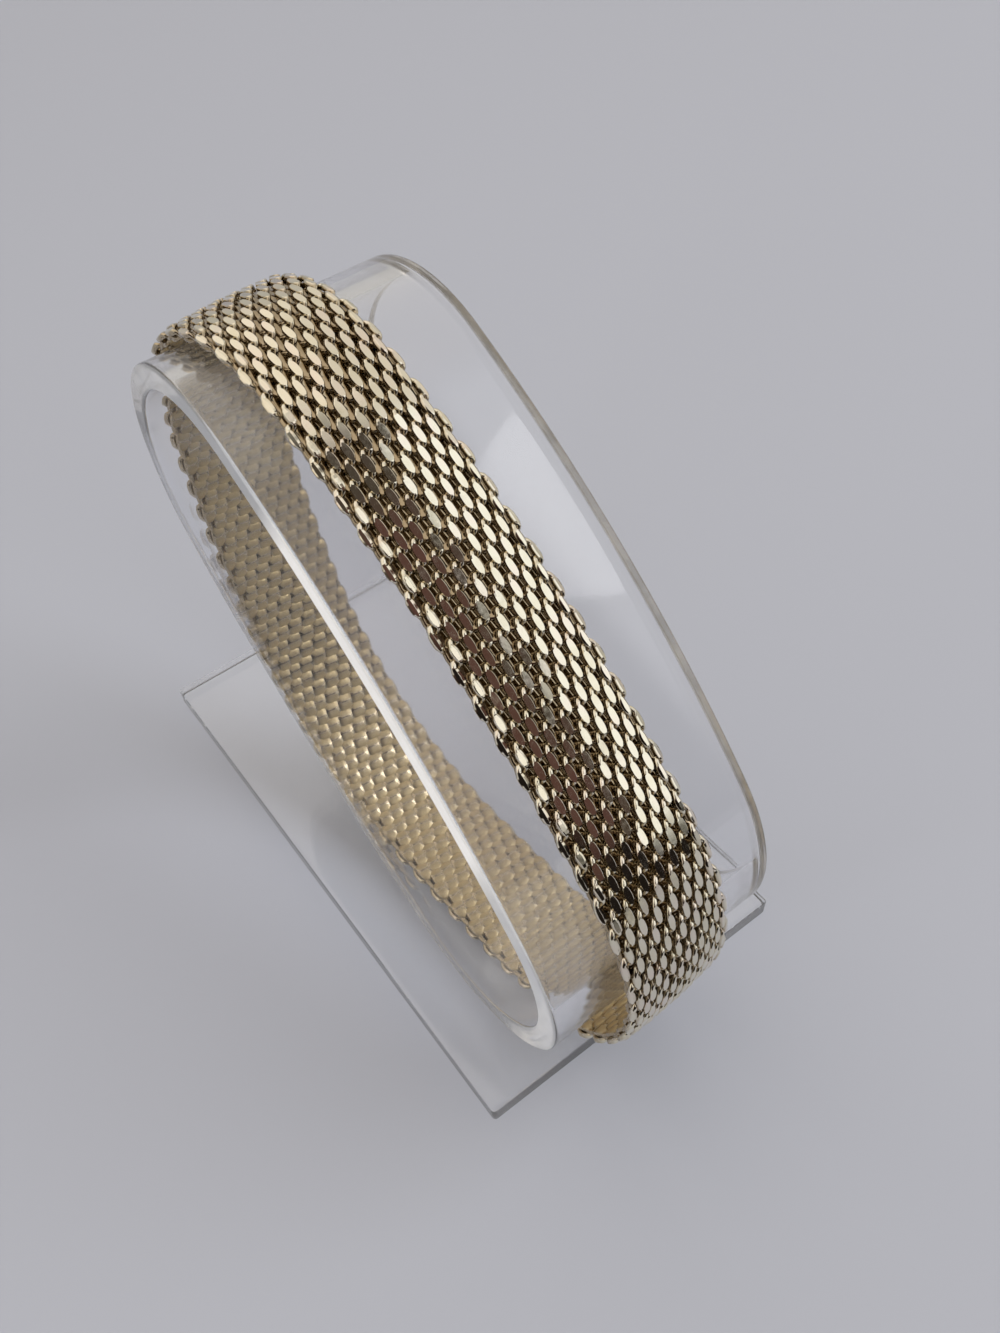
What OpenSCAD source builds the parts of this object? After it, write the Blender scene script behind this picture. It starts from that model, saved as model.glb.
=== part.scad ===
// Woven mesh bracelet slipped over a tilted clear oval ring that stands on
// a rectangular clear base. Millimetres, +Z up, the open near end of the
// ring faces -Y, the low end of the ring points to +X.

/* [Base plate] */
// Length of the base plate along X
base_length = 66.5; // [56:0.5:76]
// Depth of the base plate along Y
base_depth = 36.7; // [30:0.1:44]
// Thickness of the base plate
base_thick = 2.8; // [2:0.1:4]
// Bevel around the top edge of the base plate
base_bevel = 0.4; // [0.2:0.1:0.8]

/* [Oval ring] */
// Outer length of the oval
ring_length = 68.9; // [64:0.1:72]
// Outer height of the oval
ring_height = 34.7; // [33:0.1:36]
// Outer radius of the two tight ends
ring_end_radius = 15.4; // [14:0.1:16]
// Wall thickness of the ring
ring_wall = 2.4; // [2:0.1:3]
// Width of the ring along its axis
ring_width = 24; // [20:0.5:28]
// Downward slope of the oval towards +X, in degrees
ring_tilt = 36.7; // [32:0.1:40]
// Height of the lowest point of the ring above the base
ring_gap = 6.1; // [5:0.1:8]
// Ring centre ahead of the base centre along X
ring_ahead = 7.1; // [4:0.1:9]
// Ring centre beside the base centre along Y
ring_side = -1.9; // [-3:0.1:0]

/* [Ring foot] */
// Length of the foot along X
foot_length = 11; // [8:0.5:12]
// Thickness of the foot along Y
foot_thick = 5; // [3:0.5:5]
// Distance of the foot from the far face of the ring
foot_inset = 0.4; // [0.2:0.1:1]
// How far the foot runs up into the ring wall
foot_bury = 1.5; // [1.4:0.1:1.8]

/* [Mesh band] */
// Width of the woven band
band_width = 11.7; // [11:0.1:12.2]
// Thickness of the woven band at its middle
band_thick = 1.55; // [1.4:0.05:1.9]
// Fall of the domed outer face from the middle to the edges
band_dome = 0.5; // [0.2:0.05:0.6]
// Clearance from the inside of the band to the ring
band_clear = 0.5; // [0.5:0.05:0.7]
// Clearance under the band where it lies on the base
band_rest = 0.1; // [0.05:0.05:0.3]
// Offset of the band middle from the ring middle along Y
band_side = -1.95; // [-3:0.05:0]
// Turn of the whole loop about the upright axis, in degrees
band_yaw = 3.6; // [0:0.2:4]
// Sideways drift of the loop with height, in degrees from upright
band_drift = 1; // [0:0.5:2]
// Lean of the fall where it leaves the high end, in degrees from upright
fall_lean = 4.8; // [4:0.2:8]
// Lean of the fall where its upper and lower curves meet
fall_meet = 23.9; // [22:0.1:26]
// Bend radius of the lower curve, where the fall turns onto the base
fall_radius = 28.5; // [26:0.5:31]

/* [Fit] */
// Thickness of the glue line under the foot
glue_line = 0.05; // [0.02:0.01:0.1]

/* [Hidden] */
$fn = 120;

ring_centres = ring_length / 2 - ring_end_radius;
ring_flat_radius = (pow(ring_length / 2, 2) + pow(ring_height / 2, 2)
    - ring_length * ring_end_radius) / (ring_height - 2 * ring_end_radius);
ring_half_angle = asin(ring_centres / (ring_flat_radius - ring_end_radius));
flat_drop = ring_flat_radius - ring_height / 2;

flat_from = 90 - ring_tilt - ring_half_angle;
flat_to = 90 - ring_tilt + ring_half_angle;

// Middle line of the band, in the upright plane through the ring centre
mid_radius = ring_end_radius + band_clear + band_thick / 2;
mid_flat_radius = ring_flat_radius + band_clear + band_thick / 2;
high_x = -ring_centres * cos(ring_tilt);
high_z = ring_centres * sin(ring_tilt);
ring_z = base_thick + ring_gap + high_z + ring_end_radius;
floor_z = base_thick + band_rest + band_thick / 2 - ring_z;

// Low end: the band springs off the ring where the long arc ends
leave_x = -high_x + mid_radius * cos(flat_from);
leave_z = -high_z + mid_radius * sin(flat_from);
turn_radius = (leave_z - floor_z) / (1 + sin(flat_from));
turn_x = leave_x - turn_radius * cos(flat_from);

// High end: the band falls off it in a long upper curve and a tighter lower one
meet_angle = 180 + fall_meet;
lean_x = high_x - mid_radius * cos(fall_lean);
lean_z = high_z - mid_radius * sin(fall_lean);
long_radius = (floor_z - lean_z + fall_radius * (1 + sin(meet_angle)))
    / (sin(fall_lean) + sin(meet_angle));
long_x = lean_x + long_radius * cos(fall_lean);
long_z = lean_z + long_radius * sin(fall_lean);
bend_x = long_x + (long_radius - fall_radius) * cos(meet_angle);
bend_z = floor_z + fall_radius;

// The base is set back so that the box of the whole thing stands over the origin
reach_low = ring_ahead + turn_x + turn_radius + band_thick / 2;
origin_shift = (base_length / 2 - reach_low) / 2;
ring_x = ring_ahead + origin_shift;

// The band's arcs, in order around the loop. Columns: centre x, centre z, radius,
// first angle, last angle, steps, and 1 where a straight follows
band_arcs = [
    [-flat_drop * sin(ring_tilt), -flat_drop * cos(ring_tilt), mid_flat_radius,
        flat_from, flat_to, 8, 0],
    [high_x, high_z, mid_radius, flat_to, 180 + fall_lean, 30, 0],
    [long_x, long_z, long_radius, 180 + fall_lean, meet_angle, 8, 0],
    [bend_x, bend_z, fall_radius, meet_angle, 270, 18, 1],
    [turn_x, floor_z + turn_radius, turn_radius, 270, 360 + flat_from, 32, 0]
];

// Arcs of the ring, in the frame of the oval itself
ring_arcs = [
    [ring_centres, 0, ring_end_radius, ring_half_angle - 90, 90 - ring_half_angle],
    [0, -flat_drop, ring_flat_radius, 90 - ring_half_angle, 90 + ring_half_angle],
    [-ring_centres, 0, ring_end_radius, 90 + ring_half_angle, 270 - ring_half_angle],
    [0, flat_drop, ring_flat_radius, 270 - ring_half_angle, 270 + ring_half_angle]
];

// The domed outer face in flat strips, from one edge to the other
dome_steps = [-1, -0.6, -0.2, 0.2, 0.6, 1];
dome_points = [for (u = dome_steps) [band_thick / 2 - band_dome * u * u, band_width / 2 * u]];

// Section of the band, x outwards and y across
band_section = concat([[-band_thick / 2, -band_width / 2]], dome_points,
    [[-band_thick / 2, band_width / 2]]);

// Frames along the middle line: x, z and the angle of the outward side
band_frames = [for (a = band_arcs) for (i = [0 : a[5] - 1 + a[6]])
    let (t = a[3] + (a[4] - a[3]) * i / a[5])
    [a[0] + a[2] * cos(t), a[1] + a[2] * sin(t), t]];

module wall_profile() {
    translate([-ring_wall / 2, 0])
        square([ring_wall, ring_width], center = true);
}

// One arc of a loop that lies in the XZ plane, profile x pointing outwards
module loop_arc(arc) {
    translate([arc[0], 0, arc[1]])
        rotate([90, 0, 0])
            rotate([0, 0, arc[3]])
                rotate_extrude(angle = arc[4] - arc[3])
                    translate([arc[2], 0])
                        children();
}

// The section carried round the middle line into one closed skin
module band_sweep() {
    n = len(band_frames);
    k = len(band_section);
    skin = [for (f = band_frames) for (p = band_section)
        let (z = f[1] + p[0] * sin(f[2]))
        [f[0] + p[0] * cos(f[2]), p[1] + z * tan(band_drift), z]];
    tiles = [for (i = [0 : n - 1]) for (j = [0 : k - 1])
        let (a = i * k + j, b = i * k + (j + 1) % k,
            c = ((i + 1) % n) * k + (j + 1) % k, d = ((i + 1) % n) * k + j)
        each [[a, b, c], [a, c, d]]];
    polyhedron(points = skin, faces = tiles);
}

module mesh_band() {
    color([0.82, 0.74, 0.56])
        translate([ring_x, ring_side + band_side, ring_z])
            rotate([0, 0, band_yaw])
                band_sweep();
}

module display_ring() {
    foot_top = base_thick + ring_gap + foot_bury;
    foot_bottom = base_thick + glue_line;
    foot_y = ring_side + ring_width / 2 - foot_inset - foot_thick;
    color([0.86, 0.90, 0.93, 0.4])
        union() {
            translate([ring_x, ring_side, ring_z])
                rotate([0, ring_tilt, 0])
                    for (arc = ring_arcs)
                        loop_arc(arc)
                            wall_profile();
            translate([ring_x - high_x - foot_length / 2, foot_y, foot_bottom])
                cube([foot_length, foot_thick, foot_top - foot_bottom]);
        }
}

module display_base() {
    inset = base_bevel;
    color([0.84, 0.88, 0.91, 0.4])
        translate([origin_shift, 0, 0])
            difference() {
                translate([-base_length / 2, -base_depth / 2, 0])
                    cube([base_length, base_depth, base_thick]);
                for (side = [-1, 1]) {
                    translate([0, side * base_depth / 2, base_thick])
                        rotate([45, 0, 0])
                            cube([base_length + 2, inset * sqrt(2), inset * sqrt(2)],
                                center = true);
                    translate([side * base_length / 2, 0, base_thick])
                        rotate([0, 45, 0])
                            cube([inset * sqrt(2), base_depth + 2, inset * sqrt(2)],
                                center = true);
                }
            }
}

mesh_band();
display_ring();
display_base();
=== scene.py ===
import math
from types import SimpleNamespace

import bpy
import numpy as np
from mathutils import Matrix

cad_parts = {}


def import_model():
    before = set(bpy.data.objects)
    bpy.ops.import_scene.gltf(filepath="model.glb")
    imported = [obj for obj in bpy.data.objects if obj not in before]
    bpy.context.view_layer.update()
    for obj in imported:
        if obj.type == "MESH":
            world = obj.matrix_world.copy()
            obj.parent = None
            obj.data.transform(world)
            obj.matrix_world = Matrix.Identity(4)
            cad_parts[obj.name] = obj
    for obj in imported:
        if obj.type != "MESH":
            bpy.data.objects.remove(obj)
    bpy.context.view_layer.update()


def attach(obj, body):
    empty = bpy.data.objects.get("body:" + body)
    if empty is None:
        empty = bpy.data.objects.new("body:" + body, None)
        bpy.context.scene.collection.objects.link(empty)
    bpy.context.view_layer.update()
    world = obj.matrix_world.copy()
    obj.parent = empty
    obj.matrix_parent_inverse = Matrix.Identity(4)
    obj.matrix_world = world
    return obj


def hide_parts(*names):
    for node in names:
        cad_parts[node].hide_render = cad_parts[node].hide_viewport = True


MM = 0.001

# Sizes repeated from the CAD source, in millimetres and degrees
BASE_LENGTH, BASE_DEPTH, BASE_THICK, BASE_BEVEL = 66.5, 36.7, 2.8, 0.4
RING_LENGTH, RING_HEIGHT, RING_END = 68.9, 34.7, 15.4
RING_WALL, RING_WIDTH, RING_TILT = 2.4, 24.0, 36.7
RING_GAP, RING_AHEAD, RING_SIDE = 6.1, 7.1, -1.9
FOOT_LENGTH, FOOT_THICK, FOOT_INSET, GLUE = 11.0, 5.0, 0.4, 0.05
BAND_WIDTH, BAND_THICK, BAND_CLEAR, BAND_REST = 11.7, 1.55, 0.5, 0.1
BAND_SIDE, BAND_YAW, BAND_DRIFT = -1.95, 3.6, 1.0
FALL_LEAN, FALL_MEET, FALL_RADIUS = 4.8, 23.9, 28.5

# Places worked out from them, as in the CAD source
TILT = math.radians(RING_TILT)
CENTRES = RING_LENGTH / 2 - RING_END
FLAT_RADIUS = ((RING_LENGTH / 2) ** 2 + (RING_HEIGHT / 2) ** 2 - RING_LENGTH * RING_END) / (
    RING_HEIGHT - 2 * RING_END)
HALF_ANGLE = math.degrees(math.asin(CENTRES / (FLAT_RADIUS - RING_END)))
FLAT_DROP = FLAT_RADIUS - RING_HEIGHT / 2
HIGH_X, HIGH_Z = -CENTRES * math.cos(TILT), CENTRES * math.sin(TILT)
RING_Z = BASE_THICK + RING_GAP + HIGH_Z + RING_END
MID = RING_END + BAND_CLEAR + BAND_THICK / 2
FLOOR_Z = BASE_THICK + BAND_REST + BAND_THICK / 2 - RING_Z
FLAT_FROM, FLAT_TO = 90 - RING_TILT - HALF_ANGLE, 90 - RING_TILT + HALF_ANGLE
TURN = (-HIGH_Z + MID * math.sin(math.radians(FLAT_FROM)) - FLOOR_Z) / (
    1 + math.sin(math.radians(FLAT_FROM)))
TURN_X = -HIGH_X + (MID - TURN) * math.cos(math.radians(FLAT_FROM))
SHIFT = (BASE_LENGTH / 2 - RING_AHEAD - TURN_X - TURN - BAND_THICK / 2) / 2
RING_X = RING_AHEAD + SHIFT

# Rounded edges of the clear parts, how far past a round the next point lies, and how far the foot
# runs up into the ring's wall
RING_SOFT, FOOT_SOFT, SUPPORT, FOOT_INTO_RING = 0.35, 0.25, 0.15, 0.35
# Points on each round of the ring's section, and steps along each arc of the oval
ROUND_POINTS, OVAL_STEPS = 7, 72

# Weave: coils of flattened wire across the band, each next one half a turn over
COILS, TURNS, PIECES = 126, 8, 6
# Middles of the 16 columns across the band
COLUMNS = [-5.50, -4.80, -4.12, -3.47, -2.80, -2.02, -1.17, -0.30,
           0.58, 1.38, 2.18, 2.88, 3.56, 4.26, 4.91, 5.51]
# One turn of a coil, from under the band up over its top strand and down again. Columns: degrees from
# the middle of the top strand; place along the band; columns passed; height, from -1 to 1
COIL_TURN = np.array([
    [-180, 0, -1, -1],
    [-155, 0.46, -0.88, -0.915],
    [-130, 0.80, -0.80, -0.672],
    [-108, 1.0, -0.71, -0.34],
    [-90, 1.05, -0.62, 0],
    [-75, 1.02, -0.46, 0.296],
    [-60, 0.95, -0.29, 0.536],
    [-50, 0.87, -0.18, 0.672],
    [-42, 0.80, -0.09, 0.766],
    [-36, 0.74, -0.04, 0.826],
    [-30, 0.66, -0.02, 0.879],
    [-22, 0.54, 0, 0.934],
    [-10, 0.28, 0, 0.986],
    [0, 0, 0, 1],
    [10, -0.28, 0, 0.986],
    [22, -0.54, 0, 0.934],
    [30, -0.66, 0.02, 0.879],
    [36, -0.74, 0.05, 0.826],
    [42, -0.84, 0.13, 0.785],
    [50, -0.97, 0.24, 0.73],
    [60, -1.10, 0.36, 0.64],
    [75, -1.23, 0.50, 0.39],
    [90, -1.28, 0.60, 0],
    [108, -1.24, 0.68, -0.34],
    [130, -1.0, 0.77, -0.672],
    [155, -0.56, 0.88, -0.915],
    [180, 0, 1, -1]])
# Half width of the top strand. Columns: degrees from its middle; half width
TOP_STRAND = np.array([
    [-90, 0.17], [-50, 0.18], [-36, 0.20], [-30, 0.265], [-22, 0.33], [-10, 0.365], [0, 0.372],
    [10, 0.365], [22, 0.33], [30, 0.265], [36, 0.23], [50, 0.25], [70, 0.23], [90, 0.18]])
# The wire's half thickness, the squareness of its section, and the coil's rise either side of its middle
WIRE_DEEP, WIRE_SQUARE, COIL_RISE = 0.28, 0.8, 0.56
# How much is ground off the top strands, and the height of the ground faces over the band's middle
GRIND, FACE_TOP = 0.115, 0.775
# A ground face reaches this many degrees either way, and a bevel this deep breaks its far edge
FACE_REACH, FACE_BEVEL = 37, 0.025
# The wire's ends are tucked in under the edges, flatter and closer in than the rest
TUCK, TAIL_RISE, TAIL_WIDTH = 0.25, 0.3, 0.955
# Steps of the ends, in degrees from where the first turn starts and from where the last one stops
TAIL_BEFORE, TAIL_AFTER = [-140, -115, -90, -65, -40, -18, 0], [25, 50]
# The outer face falls by DOME_FALL to its edges, and by as much again past DOME_EDGE
DOME_FALL, DOME_EDGE, DOME_EDGE_SPAN = 0.30, 4.6, 1.25
# Points round the wire: on its lower arc, and on the ground chord as shares of the chord's arc. The
# chord may start between two angles round the wire, given by their sines
ARC_POINTS, CHORD_SINES = 10, (-0.3, 0.94)
CHORD = np.array([0.12, 0.7])
# The wire is ground only where the sine of the angle round the coil is over this
TOP_SINE = 0.2
# Half width of a lower strand: this share of the distance between its two neighbours, but it stays
# within LOW_REACH of the band's middle, and LOW_LEAST is the least
LOW_SHARE, LOW_REACH, LOW_LEAST = 0.56, 5.8, 0.28
# The ground faces in the outermost columns stand this much higher
EDGE_LIFT = 0.08
# Unevenness: of places in millimetres, of a strand's length, and of its slope and lie
UNEVEN, UNEVEN_LENGTH, UNEVEN_SLOPE, UNEVEN_LIE = 0.012, 0.015, 0.016, 0.014

# How deep the look of the ring's cut ends goes; the table's depth below the base, and half its side
CUT_DEPTH, TABLE_DROP, TABLE_REACH = 0.12, 0.1, 1500
ACRYLIC_IOR = 1.49


class Graph:
    """Short ways to add nodes to a node tree and to join them."""

    MIX_LOW, MIX_HIGH, MIX_RESULT = 6, 7, 2

    def __init__(self, tree, coordinates="Object"):
        self.nodes, self.links = tree.nodes, tree.links
        self.coordinates = self.add("TexCoord").outputs[coordinates]

    def put(self, value, socket):
        """Join another socket to this one, or set this one to a number, a colour or a direction."""
        if isinstance(value, bpy.types.NodeSocket):
            self.links.new(value, socket)
        elif socket.type == "RGBA":
            socket.default_value = (*value, 1)
        else:
            socket.default_value = value

    def add(self, kind, **inputs):
        node = self.nodes.new("ShaderNode" + kind)
        for name, value in inputs.items():
            self.put(value, node.inputs[name.replace("_", " ")])
        return node

    def maths(self, operation, *values):
        node = self.add("Math")
        node.operation = operation
        for value, socket in zip(values, node.inputs):
            self.put(value, socket)
        return node.outputs["Value"]

    def product(self, *values):
        total = values[0]
        for value in values[1:]:
            total = self.maths("MULTIPLY", total, value)
        return total

    def along(self, direction):
        """How far the coordinates lie along a direction."""
        node = self.add("VectorMath")
        node.operation = "DOT_PRODUCT"
        self.put(self.coordinates, node.inputs[0])
        self.put(direction, node.inputs[1])
        return node.outputs["Value"]

    def span(self, value, first, last, low=0.0, high=1.0, kind="LINEAR"):
        """From low to high while value goes from first to last."""
        node = self.add("MapRange", Value=value, From_Min=first, From_Max=last, To_Min=low, To_Max=high)
        node.interpolation_type = kind
        return node.outputs["Result"]

    def noise(self, scale, detail=3.0):
        return self.add("TexNoise", Vector=self.coordinates, Scale=scale, Detail=detail).outputs["Fac"]

    def ramp(self, factor, *stops):
        node = self.add("ValToRGB", Fac=factor)
        elements = node.color_ramp.elements
        for element, (position, colour) in zip(elements, (stops[0], stops[-1])):
            element.position, element.color = position, (*colour, 1)
        for position, colour in stops[1:-1]:
            elements.new(position).color = (*colour, 1)
        return node.outputs["Color"]

    def mix(self, factor, low, high):
        """One colour turning into another."""
        node = self.add("Mix")
        node.data_type = "RGBA"
        self.put(factor, node.inputs["Factor"])
        self.put(low, node.inputs[self.MIX_LOW])
        self.put(high, node.inputs[self.MIX_HIGH])
        return node.outputs[self.MIX_RESULT]

    def blend(self, factor, under, over):
        """One shader laid over another."""
        node = self.add("MixShader")
        for value, socket in zip((factor, under, over), node.inputs):
            self.put(value, socket)
        return node.outputs["Shader"]


def new_material(name):
    material = bpy.data.materials.new(name)
    material.use_nodes = True
    return material, Graph(material.node_tree), material.node_tree.nodes["Principled BSDF"]


def gold_material():
    """Pale gold wire with painted light. Its attribute is 1 on the worn ground faces and the painted
    highlights, falls to 0 with the painted shade in the recesses and is -1 on the duller inner face."""
    mat, graph, bsdf = new_material("pale_gold_wire")
    yellow, pale, rosy = (0.78, 0.72, 0.56), (0.83, 0.78, 0.64), (0.84, 0.75, 0.64)
    # the inner face's own gold, and the colour of the painted shade in the recesses
    inner_gold, painted_recess_shade = (0.60, 0.47, 0.26), (0.41, 0.33, 0.22)
    attribute = graph.add("Attribute")
    attribute.attribute_name = "wear_and_painted_light"
    wear_and_painted_light = attribute.outputs["Fac"]
    broad, fine = graph.noise(420.0), graph.noise(2600.0, 4.0)
    outer = graph.ramp(broad, (0.32, yellow), (0.50, pale), (0.66, rosy))
    inside = graph.span(wear_and_painted_light, 0.0, -0.4)
    unshaded_gold = graph.mix(inside, outer, inner_gold)
    # painted shade: the colour turns to the recess shade as the attribute falls to 0
    graph.put(graph.mix(graph.maths("ABSOLUTE", wear_and_painted_light), painted_recess_shade, unshaded_gold), bsdf.inputs["Base Color"])
    polish = graph.span(fine, 0.35, 0.7, 0.05, 0.12)
    graph.put(graph.maths("MULTIPLY_ADD", inside, 0.40, polish), bsdf.inputs["Roughness"])
    bump = graph.add("Bump", Strength=0.03, Distance=0.00002, Height=fine)
    graph.put(bump.outputs["Normal"], bsdf.inputs["Normal"])
    bsdf.inputs["Metallic"].default_value = 1.0
    return mat


def acrylic_material(name, haze, tint, ends=None):
    """Clear acrylic that lets the lamps' light through to what is behind it. ends is a function that lays
    the look of the cut ends over it."""
    mat, graph, bsdf = new_material(name)
    smear = graph.noise(300.0, 4.0)
    dim = tuple(c * 0.985 for c in tint)
    shade = graph.ramp(graph.noise(60.0), (0.3, dim), (0.7, tint))
    graph.put(shade, bsdf.inputs["Base Color"])
    graph.put(graph.span(smear, 0.0, 1.0, 0.01, 0.07), bsdf.inputs["Roughness"])
    bsdf.inputs["IOR"].default_value = ACRYLIC_IOR
    bsdf.inputs["Transmission Weight"].default_value = 1.0 - haze
    clear = graph.add("BsdfTransparent", Color=dim).outputs["BSDF"]
    seen = bsdf.outputs["BSDF"]
    if ends:
        seen = ends(graph, smear, clear, seen)
    path = graph.add("LightPath")
    lighting = graph.maths("MAXIMUM", path.outputs["Is Shadow Ray"], path.outputs["Is Diffuse Ray"])
    graph.put(graph.blend(lighting, seen, clear), graph.nodes["Material Output"].inputs["Surface"])
    return mat


def milky(graph, smear, low, high, through):
    """A cut face that scatters light, and lets a share of it through."""
    tint = graph.ramp(smear, (0.4, low), (0.6, high))
    milk = graph.add("BsdfDiffuse", Color=tint).outputs["BSDF"]
    glow = graph.add("BsdfTranslucent", Color=tint).outputs["BSDF"]
    return graph.blend(through, milk, glow)


def ring_ends(graph, smear, clear, seen):
    """The ring's two cut end faces: the near one milky, more so up its upper side as painted light, with a
    painted highlight on a stretch of it and next to nothing along its lower side, and the far one darker, a
    painted reflection of the band."""
    near = (RING_SIDE - RING_WIDTH / 2 + CUT_DEPTH) * MM
    far = (RING_SIDE + RING_WIDTH / 2 - CUT_DEPTH) * MM
    x_mid, z_mid = RING_X * MM, RING_Z * MM
    # height over the ring's long axis, and the place along that axis
    up_mid = x_mid * math.sin(TILT) + z_mid * math.cos(TILT)
    on_mid = x_mid * math.cos(TILT) - z_mid * math.sin(TILT)
    up = graph.along((math.sin(TILT), 0, math.cos(TILT)))
    on = graph.along((math.cos(TILT), 0, -math.sin(TILT)))
    depth = graph.along((0, 1, 0))

    def rise(start, end, low=0.0, high=1.0):
        return graph.span(up, up_mid + start * MM, up_mid + end * MM, low, high)

    def reach(start, end, low=0.0, high=1.0):
        return graph.span(on, on_mid + start * MM, on_mid + end * MM, low, high)

    # painted highlight: a brighter milky stretch on the near cut face, up high and in the middle
    painted_highlight_stretch = graph.product(reach(-19, -13), reach(24, 14), rise(0, 8))
    # how milky the near cut face shows: a frosted cut, more so higher up and towards the low end as painted
    # light
    frost_and_painted_light = graph.product(rise(-10, 6, 0.10, 0.60), reach(-10, 20, 0.6, 1.0))
    cool = milky(graph, smear, (0.80, 0.82, 0.86), (0.88, 0.90, 0.93), 0.4)
    bright = milky(graph, smear, (0.95, 0.94, 0.92), (0.99, 0.98, 0.96), 0.25)
    pale = graph.blend(painted_highlight_stretch, cool, bright)
    face = graph.span(depth, near + 0.1 * MM, near)
    seen = graph.blend(graph.product(face, graph.maths("MAXIMUM", frost_and_painted_light, painted_highlight_stretch)), seen, pale)
    faint = graph.product(graph.span(depth, near + 1.2 * MM, near + 0.4 * MM, 0.0, 0.65), rise(-4, -10))
    seen = graph.blend(faint, seen, clear)
    # the far cut face's dark gold-brown is a painted reflection of the band
    painted_band_reflection = milky(graph, smear, (0.20, 0.165, 0.10), (0.40, 0.34, 0.235), 0.4)
    return graph.blend(graph.span(depth, far - 0.1 * MM, far, 0.0, 0.45), seen, painted_band_reflection)


def floor_material():
    mat, graph, bsdf = new_material("pale_table")
    tone = graph.ramp(graph.noise(4.0, 2.0), (0.3, (0.475, 0.497, 0.566)), (0.7, (0.482, 0.504, 0.574)))
    graph.put(tone, bsdf.inputs["Base Color"])
    bsdf.inputs["Roughness"].default_value = 0.8
    bsdf.inputs["Specular IOR Level"].default_value = 0.1
    return mat


def mesh_object(name, verts, faces, material, smooth=True, sharp=None):
    """A mesh object from arrays of vertices in millimetres and faces of one size."""
    verts = np.asarray(verts, dtype=np.float32).reshape(-1, 3) * MM
    faces = np.asarray(faces, dtype=np.int32)
    mesh = bpy.data.meshes.new(name)
    mesh.vertices.add(len(verts))
    mesh.vertices.foreach_set("co", verts.ravel())
    mesh.loops.add(faces.size)
    mesh.loops.foreach_set("vertex_index", faces.ravel())
    mesh.polygons.add(len(faces))
    mesh.polygons.foreach_set("loop_start", np.arange(0, faces.size, faces.shape[1], dtype=np.int32))
    mesh.update(calc_edges=True)
    if sharp is not None:
        mesh.set_sharp_from_angle(angle=math.radians(sharp))
    mesh.polygons.foreach_set("use_smooth", np.broadcast_to(smooth, len(faces)).copy())
    mesh.materials.append(material)
    obj = bpy.data.objects.new(name, mesh)
    bpy.context.collection.objects.link(obj)
    return obj


def tube_faces(rows, around, closed=False):
    """Quads of a tube with its points in rows of the same length, joined end to end where closed."""
    here = np.arange(rows)[:, None] * around
    after = np.roll(here, -1, axis=0)
    if not closed:
        here, after = here[:-1], after[:-1]
    k = np.arange(around)
    beside = (k + 1) % around
    return np.stack([here + k, here + beside, after + beside, after + k], axis=2).reshape(-1, 4)


def arc_points(cx, cz, radius, first, last, steps, closed):
    """Points and outward angles of one arc in the XZ plane."""
    t = np.radians(first + (last - first) * np.arange(steps + closed) / steps)
    return np.c_[cx + radius * np.cos(t), cz + radius * np.sin(t), t]


def oval_points():
    """The oval ring's outline in its own frame."""
    h, steps = HALF_ANGLE, OVAL_STEPS
    return np.vstack([
        arc_points(CENTRES, 0, RING_END, h - 90, 90 - h, steps, 0),
        arc_points(0, -FLAT_DROP, FLAT_RADIUS, 90 - h, 90 + h, steps, 0),
        arc_points(-CENTRES, 0, RING_END, 90 + h, 270 - h, steps, 0),
        arc_points(0, FLAT_DROP, FLAT_RADIUS, 270 - h, 270 + h, steps, 0)])


def band_line():
    """The band's middle line, from the low end back below, up the fall to the high end and over the
    top: arc length, x, z and the outward angle, about the ring's centre."""
    flat = FLAT_RADIUS + BAND_CLEAR + BAND_THICK / 2
    lean, meet = math.radians(FALL_LEAN), math.radians(180 + FALL_MEET)
    lean_x, lean_z = HIGH_X - MID * math.cos(lean), HIGH_Z - MID * math.sin(lean)
    long = (FLOOR_Z - lean_z + FALL_RADIUS * (1 + math.sin(meet))) / (math.sin(lean) + math.sin(meet))
    long_x, long_z = lean_x + long * math.cos(lean), lean_z + long * math.sin(lean)
    bend_x = long_x + (long - FALL_RADIUS) * math.cos(meet)
    points = np.vstack([
        arc_points(-FLAT_DROP * math.sin(TILT), -FLAT_DROP * math.cos(TILT), flat,
                   FLAT_FROM, FLAT_TO, 300, 0),
        arc_points(HIGH_X, HIGH_Z, MID, FLAT_TO, 180 + FALL_LEAN, 300, 0),
        arc_points(long_x, long_z, long, 180 + FALL_LEAN, 180 + FALL_MEET, 200, 0),
        arc_points(bend_x, FLOOR_Z + FALL_RADIUS, FALL_RADIUS, 180 + FALL_MEET, 270, 300, 1),
        arc_points(TURN_X, FLOOR_Z + TURN, TURN, 270, 360 + FLAT_FROM, 300, 1)])[::-1]
    step = np.hypot(np.diff(points[:, 0]), np.diff(points[:, 1]))
    return np.r_[0, np.cumsum(step)], points[:, 0], points[:, 1], points[:, 2]


def power(v, e):
    return np.sign(v) * np.abs(v) ** e


def fade(value, first, last):
    """0 to 1 while value goes from first to last."""
    return np.clip((value - first) / (last - first), 0, 1)


def unit(v):
    return v / np.linalg.norm(v, axis=1)[:, None]


def across(column):
    """Place across the band of a column: the wire's ends are tucked in under the edges."""
    column = np.asarray(column, float)
    inner = np.interp(column, np.arange(len(COLUMNS)), COLUMNS)
    return inner + TUCK * np.clip(-column, 0, 1) - TUCK * np.clip(column - len(COLUMNS) + 1, 0, 1)


def dome(w):
    """Fall of the outer face at w, and its slope."""
    half = BAND_WIDTH / 2
    edge = np.maximum(np.abs(w) - DOME_EDGE, 0) / DOME_EDGE_SPAN
    return (-DOME_FALL * (w / half) ** 2 - DOME_FALL * edge ** 2,
            -2 * DOME_FALL * w / half ** 2 - np.sign(w) * 2 * DOME_FALL * edge / DOME_EDGE_SPAN)


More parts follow.
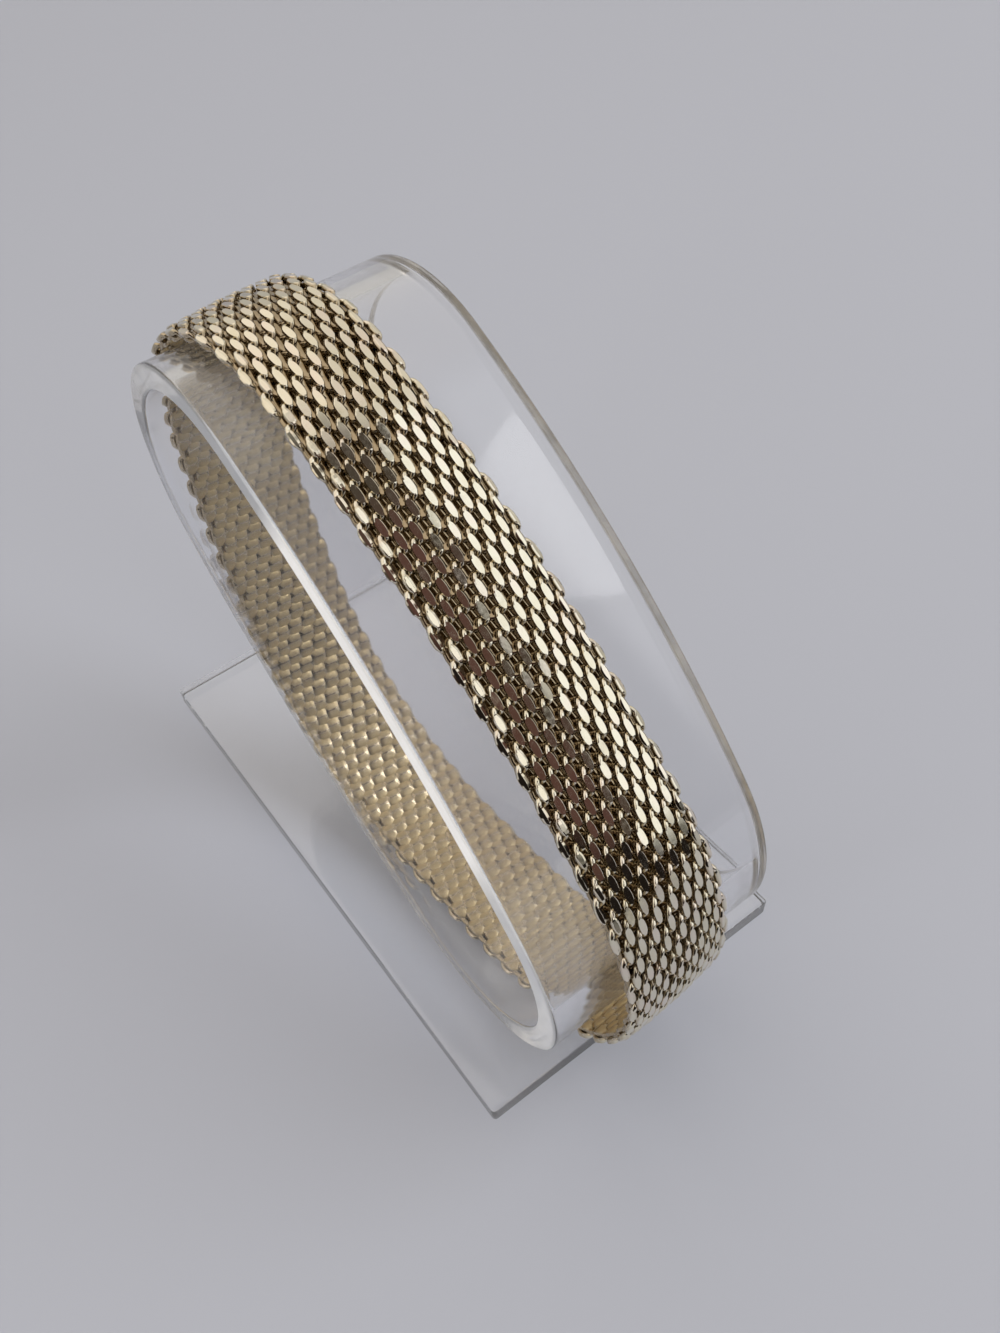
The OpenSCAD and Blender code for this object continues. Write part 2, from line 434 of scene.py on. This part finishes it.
def coil_shape():
    """What all coils share, with one value for each step round the coil."""
    degrees, place, passed, height = COIL_TURN.T
    # each turn goes from the start of its top strand round to the next one, with a tail at each end
    begin = list(degrees).index(-75)
    one = np.r_[degrees[begin:], degrees[1:begin] + 360] + 90
    phi = np.concatenate([one + 360 * k for k in range(TURNS)])
    last = 360 * (TURNS - 1) + 270
    phi = np.radians(np.r_[TAIL_BEFORE, phi[phi <= last], last + np.array(TAIL_AFTER)])
    # degrees from the middle of the top strand, -180 to 180
    psi = (np.degrees(phi) + 90) % 360 - 180
    psi[np.abs(phi - math.pi * (2 * TURNS - 0.5)) < 1e-6] = 180
    tail = (phi < 0) | (phi > math.pi * (2 * TURNS - 1))
    low = fade(-np.sin(phi), 0.05, 0.85)
    count = np.floor((phi + math.pi / 2 - np.where(psi == 180, 0.1, 0)) / (2 * math.pi))
    return SimpleNamespace(
        phi=phi, psi=psi, tail=tail, low=low, count=count,
        turn=np.clip(count, 0, TURNS - 1).astype(int),
        top=np.sin(phi) > TOP_SINE,
        place=np.interp(psi, degrees, place),
        passed=np.interp(psi, degrees, passed),
        height=COIL_RISE * np.interp(psi, degrees, height) * np.where(tail, TAIL_RISE, 1),
        top_wide=np.interp(psi, *TOP_STRAND.T),
        deep=np.interp(np.abs(psi), [0, 40, 65, 100, 125], [1, 1, 0.62, 0.62, 1]) * WIRE_DEEP,
        square=WIRE_SQUARE - 0.1 * low,
        # painted light: a painted highlight on top of the bend on the high side of each ground face, and
        # painted shade on the other bend
        bright=np.interp(psi, [30, 37, 70, 95], [0, 1, 1, 0]),
        # painted shade lifting towards the top of the coil, less of it on the high side
        upper_painted_light=np.where(psi > 0, 0.5, 0.2),
        # on the inner face each strand shows as two scales, with painted shade along the seam between them
        seam=np.interp(np.abs(psi), [150, 158, 180], [1, 0.8, 0.12]))


def coil(i, shape, rng):
    """Coil i in the band's own frame, along, across and out of it: its points and their wear and painted
    light.
    """
    column = i % 2 + 2 * shape.count + shape.passed
    w = across(column) * np.where(shape.tail, TAIL_WIDTH, 1) + rng.normal(0, UNEVEN)
    uneven = rng.normal(0, 1, (TURNS, 4))[shape.turn]
    spacing = across(column + 1) - across(column - 1)
    low_wide = np.minimum(LOW_SHARE * spacing, np.maximum(LOW_REACH - np.abs(w), LOW_LEAST))
    wide = (shape.top_wide * (1 - shape.low) + low_wide * shape.low)[:, None]
    deep, n = shape.deep, shape.height
    fall, _ = dome(w)
    middle = np.c_[shape.place * (1 + UNEVEN_LENGTH * uneven[:, 0]), w,
                   n + FACE_TOP - COIL_RISE - WIRE_DEEP + GRIND + fall * (0.5 + 0.5 * n / COIL_RISE)]
    # the ground plane of each top strand, which its section turns with
    strand = across(i % 2 + 2 * shape.turn)
    fall, slope = dome(strand)
    slope = slope + UNEVEN_SLOPE * uneven[:, 1]
    lie = UNEVEN_LIE * uneven[:, 3]
    level = FACE_TOP + fall + UNEVEN * uneven[:, 2] + EDGE_LIFT * (np.abs(strand) > DOME_EDGE)
    tangent = unit(np.gradient(middle, axis=0))
    out = unit(np.c_[np.gradient(n), np.zeros(len(n)), -np.gradient(shape.place)])
    out[:, 1] = -slope * np.maximum(out[:, 2], 0)
    side = unit(np.cross(tangent, out))
    out = np.cross(side, tangent)
    # how high the ground plane passes over the wire's middle, in half thicknesses
    cut = level + slope * (w - strand) + lie * middle[:, 0]
    gap = np.where(shape.top, (cut - middle[:, 2]) / (deep * np.maximum(out[:, 2], TOP_SINE)), 2.0)
    # angles round the wire: its lower arc, then the ground chord
    edge = np.arcsin(np.clip(power(gap, 1 / WIRE_SQUARE), *CHORD_SINES))[:, None]
    arc = math.pi - edge + (math.pi + 2 * edge) * np.linspace(0, 1, ARC_POINTS)
    theta = np.concatenate([arc, edge + (math.pi - 2 * edge) * CHORD], axis=1)
    square = shape.square[:, None]
    points = (middle[:, None, :]
              + (wide * power(np.cos(theta), square))[:, :, None] * side[:, None, :]
              + (deep[:, None] * power(np.sin(theta), square))[:, :, None] * out[:, None, :])
    plane = (level[:, None] + slope[:, None] * (points[:, :, 1] - strand[:, None])
             + lie[:, None] * points[:, :, 0])
    points[:, :, 2] = np.where(shape.top[:, None], np.minimum(points[:, :, 2], plane), points[:, :, 2])
    points[:, ARC_POINTS - 1, 2] -= np.where(np.abs(shape.psi) < FACE_REACH, FACE_BEVEL, 0)
    # worn and free of painted shade on the ground faces and just beside them, a painted highlight on the
    # high bend, and painted shade lifting towards the top of the coil; dull where the wire faces inwards
    polish_and_painted_light = np.maximum.reduce([
        fade(plane - points[:, :, 2], 0.10, 0.03),
        shape.bright[:, None] * fade(np.sin(theta), 0, 0.5),
        np.broadcast_to((shape.upper_painted_light * fade(n, 0, 0.3))[:, None], theta.shape)])
    # on the inner face, painted shade along each strand's seam and a painted shadow towards the near edge
    scale = shape.seam * np.interp(w, [-5.9, -4.4], [0.35, 1]) * fade(-n, 0.05, 0.35)
    return points, polish_and_painted_light - fade(np.sin(theta), 0.45, 0.90) * scale[:, None]


def coil_faces(shape):
    """Faces of one coil, closed at both ends, and which of them are shaded smooth."""
    rows, around = len(shape.phi), ARC_POINTS + len(CHORD)
    caps = []
    for base, flip in ((0, False), ((rows - 1) * around, True)):
        for k in range(around // 2 - 1):
            quad = [base + k, base + k + 1, base + around - 2 - k, base + around - 1 - k]
            caps.append(quad if flip else quad[::-1])
    ground = np.abs(shape.psi) < FACE_REACH
    flat = np.zeros((rows - 1, around), bool)
    flat[ground[:-1] & ground[1:], ARC_POINTS - 1:] = True
    return (np.vstack([tube_faces(rows, around), caps]),
            np.concatenate([~flat.ravel(), np.ones(len(caps), bool)]))


def weave(material, rng):
    """All coils round the loop, in pieces of the same number of coils."""
    arc, px, pz, pt = band_line()
    shape = coil_shape()
    faces, smooth = coil_faces(shape)
    drift, yaw = math.tan(math.radians(BAND_DRIFT)), math.radians(BAND_YAW)
    coils, wear_and_painted_light = [], []
    for i in range(COILS):
        place = (i + 0.5) * arc[-1] / COILS + rng.normal(0, UNEVEN)
        points, polish_and_painted_light = coil(i, shape, rng)
        # carried rigidly to its place on the loop
        t, cx, cz = (np.interp(place, arc, values) for values in (pt, px, pz))
        x = cx + points[:, :, 0] * math.sin(t) + points[:, :, 2] * math.cos(t)
        z = cz - points[:, :, 0] * math.cos(t) + points[:, :, 2] * math.sin(t)
        y = points[:, :, 1] + z * drift
        coils.append(np.stack([x * math.cos(yaw) - y * math.sin(yaw) + RING_X,
                               x * math.sin(yaw) + y * math.cos(yaw) + RING_SIDE + BAND_SIDE,
                               z + RING_Z], axis=2).reshape(-1, 3))
        wear_and_painted_light.append(polish_and_painted_light.ravel())
    each, pieces = COILS // PIECES, []
    for first in range(0, COILS, each):
        own = [faces + j * len(coils[0]) for j in range(each)]
        piece = mesh_object("mesh_coils_%d" % (first // each + 1),
                            np.concatenate(coils[first:first + each]), np.concatenate(own),
                            material, np.tile(smooth, each), sharp=48)
        # each point's wear and painted light, for the gold material
        shade = np.concatenate(wear_and_painted_light[first:first + each]).astype(np.float32)
        piece.data.attributes.new("wear_and_painted_light", "FLOAT", "POINT").data.foreach_set("value", shade)
        pieces.append(piece)
    return pieces


def ring_section():
    """The wall's section with rounded corners, x outwards and y across. A point just past each round
    keeps the long sides optically flat."""
    half, inset = RING_WIDTH / 2, RING_SOFT
    # corners in order. Columns: middle of the round x and y; its last angle; the way on; how far that runs
    corners = [(-inset, half - inset, 90, (-1, 0), RING_WALL),
               (-RING_WALL + inset, half - inset, 180, (0, -1), RING_WIDTH),
               (-RING_WALL + inset, -half + inset, 270, (1, 0), RING_WALL),
               (-inset, -half + inset, 360, (0, 1), RING_WIDTH)]
    section = []
    for cx, cy, last, on, run in corners:
        for a in np.radians(np.linspace(last - 90, last, ROUND_POINTS)):
            section.append((cx + RING_SOFT * math.cos(a), cy + RING_SOFT * math.sin(a)))
        end = section[-1]
        for reach in (SUPPORT, run - 2 * RING_SOFT - SUPPORT):
            section.append((end[0] + on[0] * reach, end[1] + on[1] * reach))
    return np.array(section)


def ring_mesh(material):
    """The oval ring with softly rounded rims, tilted so that the +X end hangs low."""
    section, line = ring_section(), oval_points()
    x = line[:, 0][:, None] + section[None, :, 0] * np.cos(line[:, 2])[:, None]
    z = line[:, 1][:, None] + section[None, :, 0] * np.sin(line[:, 2])[:, None]
    y = np.broadcast_to(section[None, :, 1], x.shape)
    verts = np.stack([x * math.cos(TILT) + z * math.sin(TILT) + RING_X, y + RING_SIDE,
                      -x * math.sin(TILT) + z * math.cos(TILT) + RING_Z], axis=2)
    faces = tube_faces(len(line), len(section), closed=True)
    return mesh_object("clear_ring", verts, faces, material, sharp=60)


def block_mesh(name, low, high, soft, material):
    """A box with rounded edges."""
    (x0, y0, z0), (x1, y1, z1) = low, high
    corners = [(x0, y0, z0), (x1, y0, z0), (x1, y1, z0), (x0, y1, z0),
               (x0, y0, z1), (x1, y0, z1), (x1, y1, z1), (x0, y1, z1)]
    sides = [(0, 3, 2, 1), (4, 5, 6, 7), (0, 1, 5, 4), (1, 2, 6, 5), (2, 3, 7, 6), (3, 0, 4, 7)]
    obj = mesh_object(name, corners, sides, material)
    bevel = obj.modifiers.new("soft_edges", "BEVEL")
    bevel.width = soft * MM
    bevel.segments = 3
    bevel.limit_method = "ANGLE"
    bpy.context.view_layer.objects.active = obj
    obj.select_set(True)
    bpy.ops.object.modifier_apply(modifier="soft_edges")
    obj.select_set(False)
    obj.data.set_sharp_from_angle(angle=math.radians(35))
    # the large faces are flat, so that they don't bend light like a lens
    large = 5 * MM * MM
    for poly in obj.data.polygons:
        poly.use_smooth = poly.area < large
    return obj


def pose(obj, right, up, back, place):
    """Turn and place an object that looks along its own -Z."""
    rows = [[right[k], up[k], back[k], place[k]] for k in range(3)]
    obj.matrix_world = Matrix(rows + [[0, 0, 0, 1]])
    bpy.context.collection.objects.link(obj)


def camera():
    """The photograph's camera, fitted to the edges of the ring, base and band."""
    azimuth, elevation, roll = 0.9953, 0.8945, -0.0854
    place = np.array([68.41 + SHIFT, -36.0, 120.02]) * MM
    focal_px, photo_height_px = 1200, 1333
    back = np.array([math.sin(azimuth) * math.cos(elevation), -math.cos(azimuth) * math.cos(elevation),
                     math.sin(elevation)])
    level = np.cross([0, 0, 1], back)
    level /= np.linalg.norm(level)
    upright = np.cross(back, level)
    data = bpy.data.cameras.new("camera")
    data.sensor_width = 36.0
    data.lens = data.sensor_width * focal_px / photo_height_px
    data.clip_start, data.clip_end = 0.005, 20.0
    cam = bpy.data.objects.new("camera", data)
    pose(cam, math.cos(roll) * level + math.sin(roll) * upright,
         -math.sin(roll) * level + math.cos(roll) * upright, back, place)
    bpy.context.scene.camera = cam


def lamp(name, place, target, size, watts):
    """A soft round lamp that doesn't show in the gloss."""
    data = bpy.data.lights.new(name, "AREA")
    data.shape, data.size, data.energy = "DISK", size, watts
    back = np.array(place, float) - np.array(target, float)
    back /= np.linalg.norm(back)
    right = np.cross([0, 0, 1], back)
    right /= np.linalg.norm(right)
    obj = bpy.data.objects.new(name, data)
    pose(obj, right, np.cross(back, right), back, place)
    obj.visible_glossy = False


def world():
    """Soft grey light for everything, and for gloss a room with a bright far side and a dark side
    where the person with the camera stands."""
    studio = bpy.data.worlds.new("studio")
    bpy.context.scene.world = studio
    studio.use_nodes = True
    studio.node_tree.nodes.clear()
    graph = Graph(studio.node_tree, "Generated")
    axes = {"x": graph.along((1, 0, 0)), "z": graph.along((0, 0, 1)),
            "far": graph.along((-0.07, 1, 0)), "rise": graph.along((0, 0.53, 1))}

    def patch(*edges):
        """1 inside a patch of the room: each edge has an axis, and where on it the patch fades in."""
        return graph.product(*(graph.span(axes[axis], first, last, kind="SMOOTHSTEP")
                               for axis, first, last in edges))

    # the walls on the high end's side, and the dull surfaces below them
    near_wall, far_wall, dull = (1.0, 0.92, 0.82), (0.78, 0.73, 0.66), (0.50, 0.485, 0.46)
    walls = graph.mix(patch(("far", 0.36, 0.42)), near_wall, far_wall)
    room = graph.mix(patch(("x", 0.12, 0.02), ("z", 0.2, 0.4)), dull, walls)
    # the person, a little redder on the low end's side
    brown, redder = (0.070, 0.058, 0.048), (0.105, 0.056, 0.048)
    person = graph.mix(patch(("x", 0.20, 0.40), ("far", 0.36, 0.30)), brown, redder)
    room = graph.mix(patch(("far", 0.40, 0.375), ("x", 0.07, 0.14), ("z", 0.0, 0.05)), room, person)
    # the bright window on the far side, and a narrow bright strip within the dark side
    window, strip = (1.12, 1.13, 1.13), (1.10, 1.08, 1.04)
    room = graph.mix(patch(("far", 0.375, 0.40), ("far", 0.92, 0.82), ("x", 0.02, 0.14), ("z", 0.0, 0.1)),
                     room, window)
    room = graph.mix(patch(("far", 0.14, 0.11), ("far", -0.16, -0.09), ("x", 0.07, 0.14), ("z", 0.0, 0.05)),
                     room, strip)
    # the darkest part, low down on the low end's side
    darkest = (0.014, 0.011, 0.010)
    room = graph.mix(patch(("rise", 0.51, 0.46), ("x", 0.25, 0.40), ("z", -0.01, 0.01)), room, darkest)
    gloss = graph.add("Background", Color=room, Strength=1.0).outputs["Background"]
    soft = graph.add("Background", Color=(0.80, 0.81, 0.85), Strength=0.55).outputs["Background"]
    path = graph.add("LightPath")
    output = graph.add("OutputWorld")
    graph.put(graph.blend(path.outputs["Is Camera Ray"], gloss, soft), output.inputs["Surface"])


def foot_mesh(material):
    """The block under the ring's low end, which holds it on the base."""
    x, y = RING_X - HIGH_X - FOOT_LENGTH / 2, RING_SIDE + RING_WIDTH / 2 - FOOT_INSET - FOOT_THICK
    top = BASE_THICK + RING_GAP + FOOT_INTO_RING
    return block_mesh("clear_foot", (x, y, BASE_THICK + GLUE), (x + FOOT_LENGTH, y + FOOT_THICK, top),
                      FOOT_SOFT, material)


def plate_mesh(material):
    x, y = BASE_LENGTH / 2, BASE_DEPTH / 2
    return block_mesh("clear_plate", (SHIFT - x, -y, 0.0), (SHIFT + x, y, BASE_THICK), BASE_BEVEL, material)


def table_mesh(material):
    """The plain pale floor, just under the base."""
    r, z = TABLE_REACH, -TABLE_DROP
    return mesh_object("table", [(-r, -r, z), (r, -r, z), (r, r, z), (-r, r, z)], [(0, 1, 2, 3)], material)


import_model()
rng = np.random.default_rng(7)

camera()
world()
bpy.context.scene.view_settings.view_transform = "Standard"

for piece in weave(gold_material(), rng):
    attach(piece, "root")
    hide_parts("mesh_band")

ring_clear = acrylic_material("clear_acrylic_ring", haze=0.03, tint=(0.96, 0.965, 0.98), ends=ring_ends)
for piece in (ring_mesh(ring_clear), foot_mesh(ring_clear)):
    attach(piece, "root")
    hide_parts("display_ring")

plate = plate_mesh(acrylic_material("clear_acrylic_base", haze=0.04, tint=(0.982, 0.987, 0.996)))
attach(plate, "root")
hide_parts("display_base")

table = table_mesh(floor_material())

middle = (0, 0, 0.03)
lamp("key", place=(0.30, 0.50, 0.60), target=middle, size=0.5, watts=2.0)
lamp("fill", place=(0.15, -0.85, 0.14), target=middle, size=0.5, watts=4.0)
